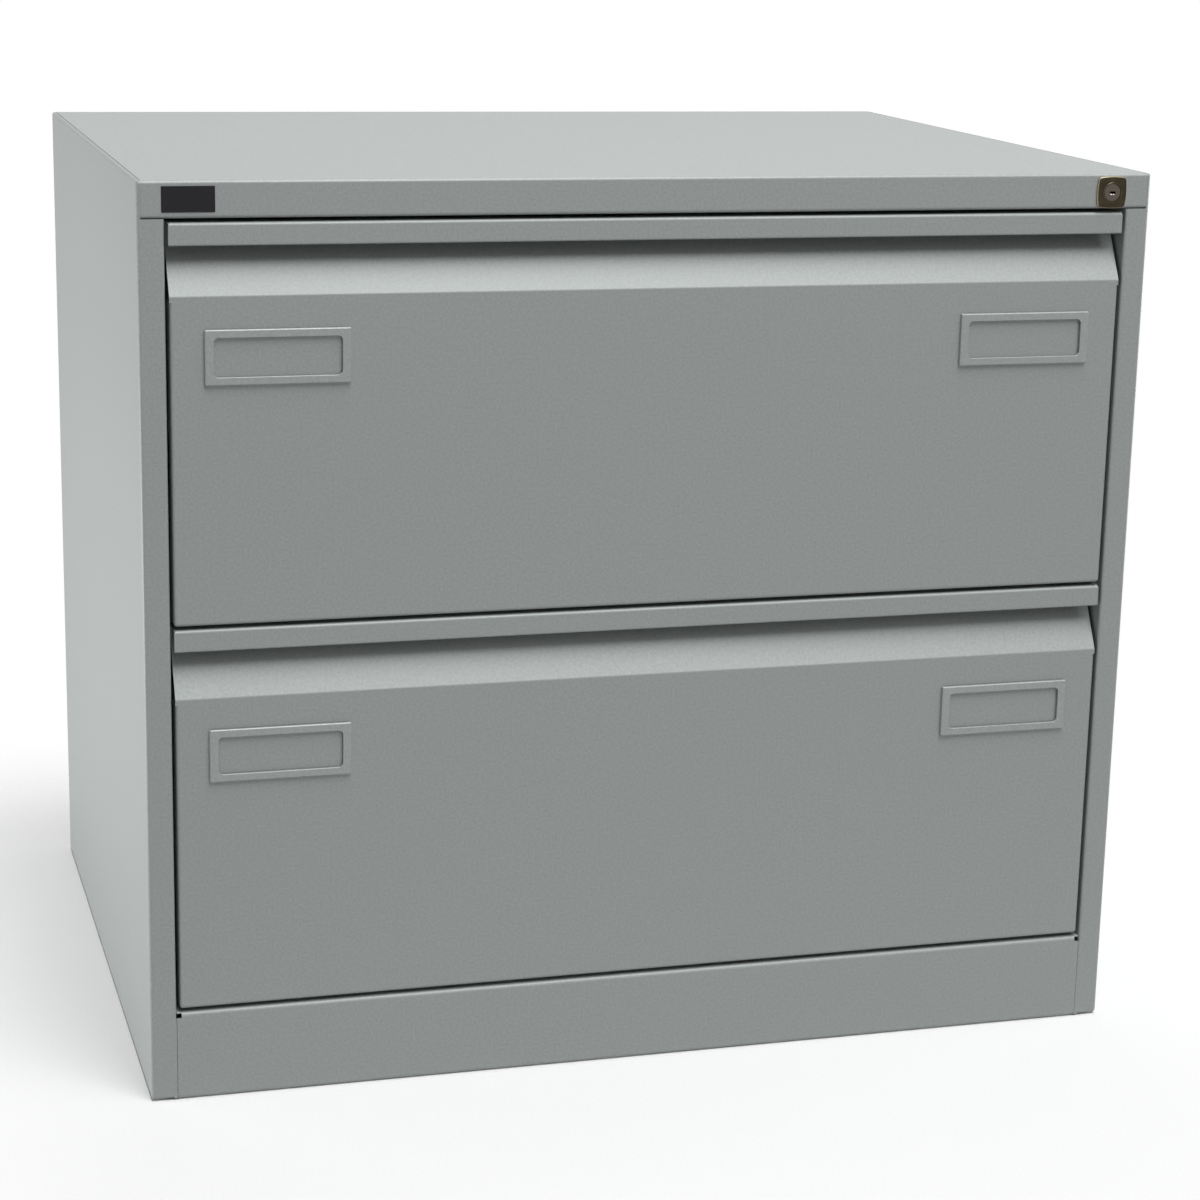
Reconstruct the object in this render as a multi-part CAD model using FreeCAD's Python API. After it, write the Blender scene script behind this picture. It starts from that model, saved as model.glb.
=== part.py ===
import FreeCAD, Part
import math
import os

Vector = FreeCAD.Vector

# Steel filing cabinet with two wide drawers on telescopic ball slides and a cam lock.
# Millimetres. +Z is up, -Y is the front, and the origin is the middle of the base.

# Overall sizes: the width over the sides, the depth from the lock to the back, and the height.
overall_width = 800.0
overall_depth = 622.0
overall_height = 711.0

# Sheet steel of the case and of the drawer fronts, its folds, and the fits between pieces.
case_sheet = 1.0
fold_radius = 1.5
seam = 0.6
hairline = 0.3
weld_gap = 0.1
panel_fit = 0.3
cut_overrun = 5.0
point_tolerance = 1e-6

# Side panels: the stile is the strip beside the drawers, folded back at its inner edge.
stile_width = 20.0
stile_return = 25.0
rear_flange = 15.0
side_edge = 3.0
side_floor_gap = 1.3

# Top panel: a front lip over the upper drawer, and flanges that turn down behind and at the sides.
top_lip_height = 27.5
top_lip_return = 12.0
top_rear_lip = 15.0
top_side_flange = 12.0

# Base: the plinth at the front, the panel behind it, and the rail under the back.
plinth_height = 72.0
plinth_flange = 45.0
plinth_fold_radius = 2.5
plinth_relief_width = 3.6
plinth_relief_height = 3.8
plinth_relief_drop = 0.9
plinth_end_ramp = 6.0
base_flange = 15.0
rear_rail_flange = 30.0

# Uprights that carry the slides, of hat section.
post_sheet = 1.5
post_flange = 12.0
post_face = 40.0
front_post_gap = 7.0
rear_post_gap = 40.0

# Drawer fronts: gaps round them, and the grip channel along their upper edge.
drawer_count = 2
front_gap = 3.0
front_side_gap = 2.75
front_sheet = 1.0
front_flange = 18.0
grip_strip_height = 17.0
grip_height = 54.0
grip_depth = 31.0
grip_hem = 9.0
strip_corner_radius = 2.5
hem_gap = 0.6
crease_leg = 4.0

# Drawer boxes.
drawer_sheet = 0.9
inner_front_drop = 4.0
drawer_rise = 10.0
drawer_back_gap = 24.8
drawer_foot = 14.0
drawer_back_flange = 15.0
file_rail_drop = 39.25
file_rail_lip = 12.0
side_rail_inset = 17.3
centre_rail_width = 43.0
centre_rail_depth = 30.0
beads_per_bay = 3
bead_width = 16.0
bead_height = 2.5

# Label frames, two on each front.
label_width = 109.0
label_height = 41.5
label_proud = 2.8
label_side_border = 6.7
label_end_border = 6.2
label_window_radius = 3.5
label_edge_radius = 1.2
label_window_edge = 0.5
label_inset = 25.0
label_drop = 24.0
card_pocket = 0.9
card_rim = 1.6

# Telescopic slides: a fixed outer member, an intermediate one, and an inner one on the drawer.
slide_height = 45.0
slide_width = 12.7
slide_sheet = 1.2
slide_fold_radius = 0.6
slide_rise = 95.0
slide_setback = 18.5
slide_front_gap = 2.0
slide_rear_gap = 8.0
ball_diameter = 3.0
ball_play = 0.3
balls_per_row = 6
cage_sheet = 0.6
cage_length = 200.0
cage_rim = 0.9

# Screws of the slides.
screw_diameter = 4.0
screw_play = 0.2
screw_head_diameter = 8.0
screw_head_height = 2.2
screw_head_edge = 0.9
screw_recess_length = 4.4
screw_recess_width = 1.0
screw_recess_depth = 1.3
slide_screw_spacing = 16.0
drawer_screw_shares = (0.1, 0.5, 0.9)

# Cam lock in the top lip, at the right.
lock_inset = 34.0
rosette_width = 23.0
rosette_bulge = 1.1
rosette_plate = 2.2
rosette_corner_radius = 3.0
rosette_edge_radius = 1.1
lock_collar_diameter = 16.0
lock_collar_proud = 0.8
lock_collar_edge = 0.45
lock_barrel_diameter = 16.0
lock_barrel_length = 24.0
lock_barrel_play = 0.2
lock_nut_width = 19.0
lock_nut_thickness = 4.0
lock_nut_gap = 0.9
plug_diameter = 13.8
plug_play = 0.1
plug_recess = 0.4
plug_edge = 0.3
plug_bar_gap = 6.0
plug_stub_diameter = 6.0
key_slot_width = 5.0
key_slot_height = 1.8
key_slot_depth = 14.0
key_lead_width = 1.5
key_lead_space = 0.5
key_lead_height = 1.0
key_lead_depth = 0.9
cam_thickness = 3.0
cam_width = 9.0
cam_pin_radius = 10.0
cam_pin_diameter = 4.6
cam_pin_tip = 2.0
cam_rest_angle = -45.0
cam_screw_diameter = 3.0
cam_screw_length = 8.0
cam_screw_head_diameter = 8.0
cam_screw_head_height = 2.0

# Lock bar behind the right stile, its guides, and the catches on the drawers.
lock_bar_gap = 4.8
lock_bar_sheet = 2.0
lock_bar_width = 11.0
lock_bar_inset = 6.0
lock_arm_border = 2.4
lock_slot_play = 0.6
lug_height = 12.0
lug_gap = 1.7
catch_drop = 101.25
catch_height = 16.0
catch_reach = 9.0
catch_base_length = 20.0
catch_sheet = 1.5
catch_clearance = 1.5
guide_drop = 46.25
guide_height = 14.0
guide_wall = 2.0
guide_play = 0.4

# Blank plate on the top lip, at the left.
badge_width = 39.0
badge_height = 19.0
badge_proud = 0.6
badge_edge_radius = 0.25
badge_inset = 18.0
badge_drop = 4.0

# Places that several pieces share.
half_width = overall_width / 2
front_y = -overall_depth / 2 + rosette_plate + lock_collar_proud
back_y = overall_depth / 2
lip_bottom = overall_height - top_lip_height
opening_half = half_width - stile_width
base_top = plinth_height - case_sheet
relief_low = plinth_height - plinth_relief_drop - plinth_relief_height
back_panel_y = back_y - 2 * case_sheet
front_half = opening_half - front_side_gap
front_height = (lip_bottom - plinth_height - (drawer_count + 1) * front_gap) / drawer_count
inner_front_y = front_y + grip_depth + panel_fit
drawer_y = inner_front_y + drawer_sheet
drawer_back_y = back_panel_y - drawer_back_gap
slide_back = half_width - slide_setback
drawer_half = slide_back - slide_width
slide_y = drawer_y + slide_front_gap
slide_end_y = drawer_back_y - slide_rear_gap
slide_length = slide_end_y - slide_y
wall_x = half_width - case_sheet
lock_bar_y = drawer_y + lock_bar_gap
front_post_y = lock_bar_y + lock_bar_sheet + front_post_gap
post_depth = post_face + 2 * post_flange
rear_post_y = back_panel_y - rear_post_gap - post_depth
lock_x = half_width - lock_inset
lock_z = lip_bottom + case_sheet + fold_radius + lock_nut_gap + lock_nut_width / 2
file_rail_rise = front_height - file_rail_drop
catch_rise = front_height - catch_drop
guide_rise = front_height - guide_drop


def drawer_floor(drawer):
    """Height of the lower edge of one drawer's front, counted from the bottom drawer."""
    return plinth_height + front_gap + drawer * (front_height + front_gap)


def block(x_low, x_high, y_low, y_high, z_low, z_high):
    """Plain box between two corners."""
    return Part.makeBox(x_high - x_low, y_high - y_low, z_high - z_low, Vector(x_low, y_low, z_low))


def mirrored(shape):
    """The same piece for the other side of the cabinet."""
    return shape.mirror(Vector(0, 0, 0), Vector(1, 0, 0))


def joined(shapes):
    """One solid from shapes that meet or overlap."""
    return shapes[0].multiFuse(shapes[1:]).removeSplitter()


def directions(points):
    """Unit direction of each straight between neighbouring points."""
    ways = []
    for (u, v), (next_u, next_v) in zip(points, points[1:]):
        length = math.hypot(next_u - u, next_v - v)
        ways.append(((next_u - u) / length, (next_v - v) / length))
    return ways


def beside(points, distance):
    """The same line of points, moved distance to its left."""
    ways = directions(points)
    moved = []
    for (u, v), (au, av), (bu, bv) in zip(points, ways[:1] + ways, ways + ways[-1:]):
        reach = distance / (1 + au * bu + av * bv)
        moved.append((u - (av + bv) * reach, v + (au + bu) * reach))
    return moved


def straight(start, end, place):
    """The edge between two points, or nothing where they are the same."""
    if math.dist(start, end) < point_tolerance:
        return []
    return [Part.LineSegment(place(*start), place(*end)).toShape()]


def rounded_edges(points, radii, place):
    """Edges through points, with a tangent arc at each inner corner."""
    ways = directions(points)
    edges = []
    start = points[0]
    for (u, v), radius, (au, av), (bu, bv) in zip(points[1:-1], radii, ways, ways[1:]):
        half_turn = math.acos(au * bu + av * bv) / 2
        leg = radius * math.tan(half_turn)
        rise = (radius / math.cos(half_turn) - radius) / math.hypot(bu - au, bv - av)
        first = (u - au * leg, v - av * leg)
        middle = (u + (bu - au) * rise, v + (bv - av) * rise)
        last = (u + bu * leg, v + bv * leg)
        edges += straight(start, first, place)
        edges.append(Part.Arc(place(*first), place(*middle), place(*last)).toShape())
        start = last
    return edges + straight(start, points[-1], place)


def folded_sheet(points, sheet, radii, place, run):
    """Sheet folded along the middle line points, with these inside radii, extruded along run."""
    ways = directions(points)
    turns = [au * bv - av * bu for (au, av), (bu, bv) in zip(ways, ways[1:])]
    left = beside(points, sheet / 2)
    right = beside(points, -sheet / 2)
    left_radii = [radius if turn > 0 else radius + sheet for radius, turn in zip(radii, turns)]
    right_radii = [radius + sheet if turn > 0 else radius for radius, turn in zip(radii, turns)]
    edges = rounded_edges(left, left_radii, place) + rounded_edges(right, right_radii, place)
    edges += straight(left[0], right[0], place) + straight(left[-1], right[-1], place)
    return Part.Face(Part.Wire(Part.__sortEdges__(edges))).extrude(run)


def folds(points, radius):
    """The same inside radius for every corner of a folded line."""
    return [radius for corner in points[1:-1]]


def sheet_along_x(points, sheet, radii, x_low, x_high):
    """Folded sheet with its section in Y and Z."""
    run = Vector(x_high - x_low, 0, 0)
    return folded_sheet(points, sheet, radii, lambda y, z: Vector(x_low, y, z), run)


def sheet_along_y(points, sheet, radii, y_low, y_high):
    """Folded sheet with its section in X and Z."""
    run = Vector(0, y_high - y_low, 0)
    return folded_sheet(points, sheet, radii, lambda x, z: Vector(x, y_low, z), run)


def sheet_along_z(points, sheet, radii, z_low, z_high):
    """Folded sheet with its section in X and Y."""
    run = Vector(0, 0, z_high - z_low)
    return folded_sheet(points, sheet, radii, lambda x, y: Vector(x, y, z_low), run)


def plate_along_x(points, x_low, x_high):
    """Flat plate with the outline points in Y and Z."""
    corners = [Vector(x_low, y, z) for y, z in points]
    return Part.Face(Part.makePolygon(corners + corners[:1])).extrude(Vector(x_high - x_low, 0, 0))


def rounded_box(low, high, radius, axis, open_at):
    """Box with every edge rounded except those of the side that is open."""
    box = block(low[0], high[0], low[1], high[1], low[2], high[2])
    edges = []
    for edge in box.Edges:
        places = [vertex.Point[axis] for vertex in edge.Vertexes]
        if max(abs(place - open_at) for place in places) > point_tolerance:
            edges.append(edge)
    return box.makeFillet(radius, edges)


def edges_at_y(shape, y):
    """Edges that lie wholly in the plane at this Y."""
    return [edge for edge in shape.Edges if max(abs(v.Point.y - y) for v in edge.Vertexes) < point_tolerance]


def tray(low, high, sheet, radius, axis, open_side):
    """Pressed tray with rounded folds, open on the low or the high side of one axis."""
    inner_low = [place + sheet for place in low]
    inner_high = [place - sheet for place in high]
    if open_side == "low":
        inner_low[axis] = low[axis] - cut_overrun
        outside = rounded_box(low, high, radius + sheet, axis, low[axis])
        inside = rounded_box(inner_low, inner_high, radius, axis, inner_low[axis])
    else:
        inner_high[axis] = high[axis] + cut_overrun
        outside = rounded_box(low, high, radius + sheet, axis, high[axis])
        inside = rounded_box(inner_low, inner_high, radius, axis, inner_high[axis])
    return outside.cut(inside)


def right_side_panel():
    """Side, stile, rear and lower flanges of one sheet, with a narrow rounded edge at the top.

    The stile is folded back beside the drawers and ends flat beside the plinth.
    """
    fold = case_sheet + fold_radius
    low = [opening_half, front_y, side_floor_gap]
    panel = tray(low, [half_width, back_y, overall_height], case_sheet, fold_radius, 0, "low")
    inside = opening_half - cut_overrun
    edge_x = half_width - side_edge
    joint_x = opening_half + fold + panel_fit
    above = overall_height + cut_overrun
    below = side_floor_gap - cut_overrun
    before = front_y - cut_overrun
    behind = back_y + cut_overrun
    trims = [
        block(inside, edge_x, before, behind, overall_height - fold, above),
        block(inside, edge_x, before, front_y + fold, lip_bottom - hairline, above),
        block(inside, joint_x, before, front_y + fold, below, above),
        block(inside, half_width - rear_flange, back_y - fold, behind, below, above),
        block(inside, edge_x, back_y - fold, behind, overall_height - top_rear_lip - seam, above),
    ]
    for trim in trims:
        panel = panel.cut(trim)
    middle = case_sheet / 2
    points = [
        (opening_half + middle, front_y + stile_return),
        (opening_half + middle, front_y + middle),
        (joint_x, front_y + middle),
    ]
    stile = sheet_along_z(points, case_sheet, folds(points, fold_radius), relief_low, lip_bottom - hairline)
    foot = block(opening_half, joint_x, front_y, front_y + case_sheet, side_floor_gap, relief_low)
    return joined([panel, stile, foot])


def top_panel():
    """Top folded down at the front, where the lip closes up to the sides, and at the back and sides."""
    middle = case_sheet / 2
    half = half_width - side_edge - seam
    points = [
        (front_y + top_lip_return, lip_bottom + middle),
        (front_y + middle, lip_bottom + middle),
        (front_y + middle, overall_height - middle),
        (back_y - middle, overall_height - middle),
        (back_y - middle, overall_height - top_rear_lip),
    ]
    panel = sheet_along_x(points, case_sheet, folds(points, fold_radius), -half, half)
    fold = case_sheet + fold_radius
    flange = block(
        half - case_sheet, half, front_y + fold, back_y - fold,
        overall_height - top_side_flange, overall_height - middle,
    )
    lip_half = half_width - side_edge - weld_gap
    lip_points = points[:3] + [(front_y + fold, overall_height - middle)]
    lip = sheet_along_x(lip_points, case_sheet, folds(lip_points, fold_radius), -lip_half, lip_half)
    panel = joined([panel, flange, mirrored(flange), lip])
    radius = lock_barrel_diameter / 2 + lock_barrel_play
    start = Vector(lock_x, front_y - cut_overrun, lock_z)
    return panel.cut(Part.makeCylinder(radius, case_sheet + 2 * cut_overrun, start, Vector(0, 1, 0)))


def back_panel():
    """Flat back behind the flanges of the sides and the top."""
    half = wall_x - fold_radius - panel_fit
    top = overall_height - case_sheet - fold_radius - panel_fit
    low = side_floor_gap + case_sheet + fold_radius + panel_fit
    return block(-half, half, back_panel_y, back_y - case_sheet, low, top)


def front_plinth():
    """Channel under the lower drawer, with relief holes in its upper fold and its lower ends cut back."""
    middle = case_sheet / 2
    half = opening_half - hairline
    points = [
        (front_y + plinth_flange, middle),
        (front_y + middle, middle),
        (front_y + middle, plinth_height - middle),
        (front_y + plinth_flange, plinth_height - middle),
    ]
    plinth = sheet_along_x(points, case_sheet, folds(points, plinth_fold_radius), -half, half)
    relief_back = front_y + plinth_fold_radius + case_sheet
    relief = block(
        half - plinth_relief_width, half + cut_overrun, front_y - cut_overrun, relief_back,
        relief_low, relief_low + plinth_relief_height,
    )
    corner = [(half, 0), (half - plinth_end_ramp, 0), (half, side_floor_gap), (half, 0)]
    outline = Part.makePolygon([Vector(x, front_y, z) for x, z in corner])
    ramp = Part.Face(outline).extrude(Vector(0, plinth_flange, 0))
    for cut in (relief, ramp):
        plinth = plinth.cut(cut).cut(mirrored(cut))
    return plinth


def base_panel():
    """Panel between the sides, under the plinth's upper flange, turned down at both sides."""
    middle = case_sheet / 2
    edge = wall_x - panel_fit - middle
    points = [
        (-edge, base_top - base_flange),
        (-edge, base_top - middle),
        (edge, base_top - middle),
        (edge, base_top - base_flange),
    ]
    start = front_y + stile_return + panel_fit
    return sheet_along_y(points, case_sheet, folds(points, fold_radius), start, back_panel_y - panel_fit)


def rear_base_rail():
    """Channel under the base panel, along the back, that rests on the floor."""
    middle = case_sheet / 2
    top = base_top - case_sheet
    half = opening_half - panel_fit
    points = [
        (back_panel_y - rear_rail_flange, middle),
        (back_panel_y - middle, middle),
        (back_panel_y - middle, top - middle),
        (back_panel_y - rear_rail_flange, top - middle),
    ]
    return sheet_along_x(points, case_sheet, folds(points, fold_radius), -half, half)


def screw_holes(y_places, x_low, x_high):
    """Clearance holes of the slide screws through one upright or slide on the right side."""
    radius = screw_diameter / 2 + screw_play
    holes = []
    for drawer in range(drawer_count):
        for y in y_places:
            for side in (-1, 1):
                z = drawer_floor(drawer) + slide_rise + side * slide_screw_spacing / 2
                start = Vector(x_low, y, z)
                holes.append(Part.makeCylinder(radius, x_high - x_low, start, Vector(1, 0, 0)))
    return holes


def right_post(start_y):
    """Upright of hat section on the side panel, with its face against the slides."""
    middle = post_sheet / 2
    face_low = start_y + post_flange
    face_high = face_low + post_face
    points = [
        (wall_x - middle, start_y),
        (wall_x - middle, face_low + middle),
        (slide_back + middle, face_low + middle),
        (slide_back + middle, face_high - middle),
        (wall_x - middle, face_high - middle),
        (wall_x - middle, face_high + post_flange),
    ]
    post = sheet_along_z(points, post_sheet, folds(points, fold_radius), base_top, lip_bottom)
    y = (face_low + face_high) / 2
    for hole in screw_holes([y], slide_back - cut_overrun, slide_back + post_sheet + cut_overrun):
        post = post.cut(hole)
    return post


post_middle_shift = post_flange + post_face / 2
post_middles = [front_post_y + post_middle_shift, rear_post_y + post_middle_shift]

# Section of the slides, in distance from the upright's face and in height from the middle.
race_gap = ball_diameter + 2 * ball_play
cage_space = cage_sheet + 2 * ball_play
outer_edge = slide_height / 2
middle_edge = outer_edge - slide_sheet - race_gap
inner_edge = middle_edge - slide_sheet - race_gap
middle_web = slide_sheet + cage_space
inner_tip = middle_web + slide_sheet + cage_space
member_tip = slide_width - slide_sheet - ball_play
outer_ball_reach = (middle_web + member_tip) / 2
inner_ball_reach = (inner_tip + member_tip) / 2


def slide_channel(web, tip, edge, sheet, radius, y_low, y_high, middle_z):
    """Channel on the right side, whose web and flange tips lie at these distances from the upright."""
    middle = sheet / 2
    web_x = slide_back - web - (middle if tip > web else -middle)
    points = [
        (slide_back - tip, middle_z - edge + middle),
        (web_x, middle_z - edge + middle),
        (web_x, middle_z + edge - middle),
        (slide_back - tip, middle_z + edge - middle),
    ]
    return sheet_along_y(points, sheet, folds(points, radius), y_low, y_high)


def slide_members(drawer):
    """Outer, intermediate and inner members of one drawer's right slide."""
    z = drawer_floor(drawer) + slide_rise
    sizes = {
        "outer": (0, member_tip, outer_edge),
        "middle": (middle_web, member_tip, middle_edge),
        "inner": (slide_width, inner_tip, inner_edge),
    }
    members = {}
    for name, (web, tip, edge) in sizes.items():
        members[name] = slide_channel(
            web, tip, edge, slide_sheet, slide_fold_radius, slide_y, slide_end_y, z
        )
    outside = slide_back + cut_overrun
    for hole in screw_holes(post_middles, slide_back - slide_sheet, outside):
        members["outer"] = members["outer"].cut(hole)
    for hole in drawer_screw_holes(drawer):
        members["inner"] = members["inner"].cut(hole)
    return members


def drawer_screw_places(drawer):
    """Middle points of the screws between one drawer side and its inner slide member."""
    z = drawer_floor(drawer) + slide_rise
    return [Vector(drawer_half, slide_y + share * slide_length, z) for share in drawer_screw_shares]


def drawer_screw_holes(drawer):
    """Clearance holes through the right drawer side and its inner slide member."""
    radius = screw_diameter / 2 + screw_play
    length = 2 * (drawer_sheet + slide_sheet)
    holes = []
    for place in drawer_screw_places(drawer):
        start = place - Vector(length / 2, 0, 0)
        holes.append(Part.makeCylinder(radius, length, start, Vector(1, 0, 0)))
    return holes


def screw(tip, direction, length):
    """Pan-head screw along X, with a cross recess, from its tip to its head, with this shank length."""
    shank = Part.makeCylinder(screw_diameter / 2, length, tip, direction)
    seat = tip + direction * length
    head = Part.makeCylinder(screw_head_diameter / 2, screw_head_height, seat, direction)
    top = seat + direction * screw_head_height
    rim = [edge for edge in head.Edges if abs(edge.CenterOfMass.x - top.x) < point_tolerance]
    head = head.makeFillet(screw_head_edge, rim)
    ends = (top - direction * screw_recess_depth, top + direction * cut_overrun)
    x_low, x_high = sorted(end.x for end in ends)
    reach = screw_recess_length / 2
    side = screw_recess_width / 2
    upright = block(x_low, x_high, tip.y - side, tip.y + side, tip.z - reach, tip.z + reach)
    level = block(x_low, x_high, tip.y - reach, tip.y + reach, tip.z - side, tip.z + side)
    return joined([shank, head]).cut(upright).cut(level)


def slide_screws():
    """Screws through the uprights into the outer slide members, with their heads in the uprights."""
    screws = []
    for drawer in range(drawer_count):
        for y in post_middles:
            for side in (-1, 1):
                z = drawer_floor(drawer) + slide_rise + side * slide_screw_spacing / 2
                tip = Vector(slide_back - slide_sheet, y, z)
                piece = screw(tip, Vector(1, 0, 0), slide_sheet + post_sheet)
                screws += [piece, mirrored(piece)]
    return Part.makeCompound(screws)


def drawer_screws(drawer):
    """Screws through the drawer sides into the inner slide members, with their heads in the drawer."""
    screws = []
    for place in drawer_screw_places(drawer):
        tip = place + Vector(slide_sheet, 0, 0)
        piece = screw(tip, Vector(-1, 0, 0), slide_sheet + drawer_sheet)
        screws += [piece, mirrored(piece)]
    return Part.makeCompound(screws)


def ball_places(drawer, reach, edge):
    """Middle points of the balls in the upper and lower race of one right slide."""
    z = drawer_floor(drawer) + slide_rise
    middle_y = slide_y + slide_length / 2
    step = cage_length / balls_per_row
    places = []
    for number in range(balls_per_row):
        y = middle_y + (number - (balls_per_row - 1) / 2) * step
        for side in (-1, 1):
            places.append(Vector(slide_back - reach, y, z + side * (edge + race_gap / 2)))
    return places


def slide_cages(drawer, web, reach, edge):
    """Left and right cages that space the balls between two slide members."""
    middle_y = slide_y + slide_length / 2
    arm = edge + race_gap / 2 + cage_sheet / 2
    tip = reach + ball_diameter / 2 + cage_rim
    cage = slide_channel(
        web, tip, arm, cage_sheet, ball_play,
        middle_y - cage_length / 2, middle_y + cage_length / 2, drawer_floor(drawer) + slide_rise,
    )
    radius = ball_diameter / 2 + ball_play
    for place in ball_places(drawer, reach, edge):
        start = place - Vector(0, 0, ball_diameter / 2)
        cage = cage.cut(Part.makeCylinder(radius, ball_diameter, start, Vector(0, 0, 1)))
    return Part.makeCompound([cage, mirrored(cage)])


def slide_balls(drawer, reach, edge):
    """Balls of the left and right slides, in their upper and lower races."""
    balls = [Part.makeSphere(ball_diameter / 2, place) for place in ball_places(drawer, reach, edge)]
    return Part.makeCompound(balls + [mirrored(ball) for ball in balls])


def grip_line(floor):
    """Middle line of the front's sheet: the top, the slope behind the grip and the crease below."""
    middle = front_sheet / 2
    top = floor + front_height
    crease = top - grip_height
    return [
        (front_y + grip_depth - middle, top - middle),
        (front_y + middle, crease),
        (front_y + middle, crease - crease_leg),
    ]


def drawer_front(drawer):
    """Front folded from one sheet: a tray below, and the grip channel with its hemmed strip above."""
    floor = drawer_floor(drawer)
    top = floor + front_height
    middle = front_sheet / 2
    strip_bottom = top - grip_strip_height
    hem_y = front_y + middle + front_sheet + hem_gap
    points = [
        (hem_y, strip_bottom + grip_hem),
        (hem_y, strip_bottom + middle),
        (front_y + middle, strip_bottom + middle),
        (front_y + middle, top - middle),
    ] + grip_line(floor)
    radii = folds(points, fold_radius)
    radii[0] = hem_gap / 2
    radii[1] = hem_gap / 2
    grip = sheet_along_x(points, front_sheet, radii, -front_half, front_half)
    low = [-front_half, front_y, floor]
    face = tray(low, [front_half, front_y + front_flange, top], front_sheet, fold_radius, 1, "high")
    reach = front_half + cut_overrun
    above = block(
        -reach, reach, front_y - cut_overrun, front_y + front_flange + cut_overrun,
        points[-1][1], top + cut_overrun,
    )
    corner_x = front_half - strip_corner_radius
    corner_z = top - strip_corner_radius
    corner_end = front_y + front_sheet + fold_radius
    corner = block(corner_x, reach, front_y - cut_overrun, corner_end, corner_z, top + cut_overrun)
    start = Vector(corner_x, front_y - cut_overrun, corner_z)
    corner = corner.cut(
        Part.makeCylinder(strip_corner_radius, corner_end - start.y, start, Vector(0, 1, 0))
    )
    grip = grip.cut(corner).cut(mirrored(corner))
    return joined([face.cut(above), grip])


def drawer_inner_front(drawer):
    """Inner skin of the front, a tray whose cheeks follow the slope of the grip channel."""
    floor = drawer_floor(drawer)
    top = floor + front_height - inner_front_drop
    half = front_half - front_sheet - panel_fit
    start = front_y + front_sheet + fold_radius + panel_fit
    low = [-half, start, floor + front_sheet + panel_fit]
    skin = tray(low, [half, drawer_y, top + front_flange], drawer_sheet, fold_radius, 1, "low")
    slope = beside(grip_line(floor), front_sheet / 2 + panel_fit)
    ahead = front_y - cut_overrun
    top_y = slope[0][0] + cut_overrun
    channel = [(ahead, slope[-1][1]), slope[-1], slope[1], slope[0]]
    channel += [(slope[0][0], top + cut_overrun), (ahead, top + cut_overrun)]
    reach = half + cut_overrun
    skin = skin.cut(plate_along_x(channel, -reach, reach))
    return skin.cut(block(-reach, reach, ahead, top_y + front_flange, top, top + 2 * front_flange))


def drawer_right_side(drawer):
    """Side with a foot under the bottom and a lip at the top that carries hanging files."""
    floor = drawer_floor(drawer)
    middle = drawer_sheet / 2
    rail_top = floor + file_rail_rise
    ledge = rail_top - file_rail_lip
    points = [
        (drawer_half - drawer_foot, floor + drawer_rise + middle),
        (drawer_half - middle, floor + drawer_rise + middle),
        (drawer_half - middle, ledge + middle),
        (drawer_half - side_rail_inset, ledge + middle),
        (drawer_half - side_rail_inset, rail_top),
    ]
    side = sheet_along_y(points, drawer_sheet, folds(points, fold_radius), drawer_y, drawer_back_y)
    for hole in drawer_screw_holes(drawer):
        side = side.cut(hole)
    return side


def drawer_back(drawer):
    """Back of the drawer box, flanged forward inside the two sides."""
    floor = drawer_floor(drawer)
    middle = drawer_sheet / 2
    half = drawer_half - drawer_sheet - panel_fit - middle
    points = [
        (-half, drawer_back_y - drawer_back_flange),
        (-half, drawer_back_y - middle),
        (half, drawer_back_y - middle),
        (half, drawer_back_y - drawer_back_flange),
    ]
    low = floor + drawer_rise + 2 * drawer_sheet + bead_height + panel_fit
    high = floor + file_rail_rise - file_rail_lip - fold_radius - panel_fit
    return sheet_along_z(points, drawer_sheet, folds(points, fold_radius), low, high)


def drawer_bottom(drawer):
    """Bottom sheet on the feet of the sides, stiffened by pressed beads from front to back."""
    z = drawer_floor(drawer) + drawer_rise + drawer_sheet + drawer_sheet / 2
    half = drawer_half - drawer_sheet - fold_radius - panel_fit
    beads = 2 * beads_per_bay
    step = 2 * half / beads
    points = [(-half, z)]
    for number in range(beads):
        bead_x = -half + (number + 1 / 2) * step
        points += [
            (bead_x - bead_width / 2, z),
            (bead_x - bead_width / 2 + bead_height, z + bead_height),
            (bead_x + bead_width / 2 - bead_height, z + bead_height),
            (bead_x + bead_width / 2, z),
        ]
    points.append((half, z))
    return sheet_along_y(points, drawer_sheet, folds(points, fold_radius), drawer_y, drawer_back_y)


def drawer_centre_rail(drawer):
    """Channel between the two file bays, whose upper edges carry hanging files."""
    top = drawer_floor(drawer) + file_rail_rise
    middle = drawer_sheet / 2
    edge = centre_rail_width / 2 - middle
    points = [
        (-edge, top),
        (-edge, top - centre_rail_depth + middle),
        (edge, top - centre_rail_depth + middle),
        (edge, top),
    ]
    end = drawer_back_y - drawer_sheet
    return sheet_along_y(points, drawer_sheet, folds(points, fold_radius), drawer_y, end)


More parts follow.
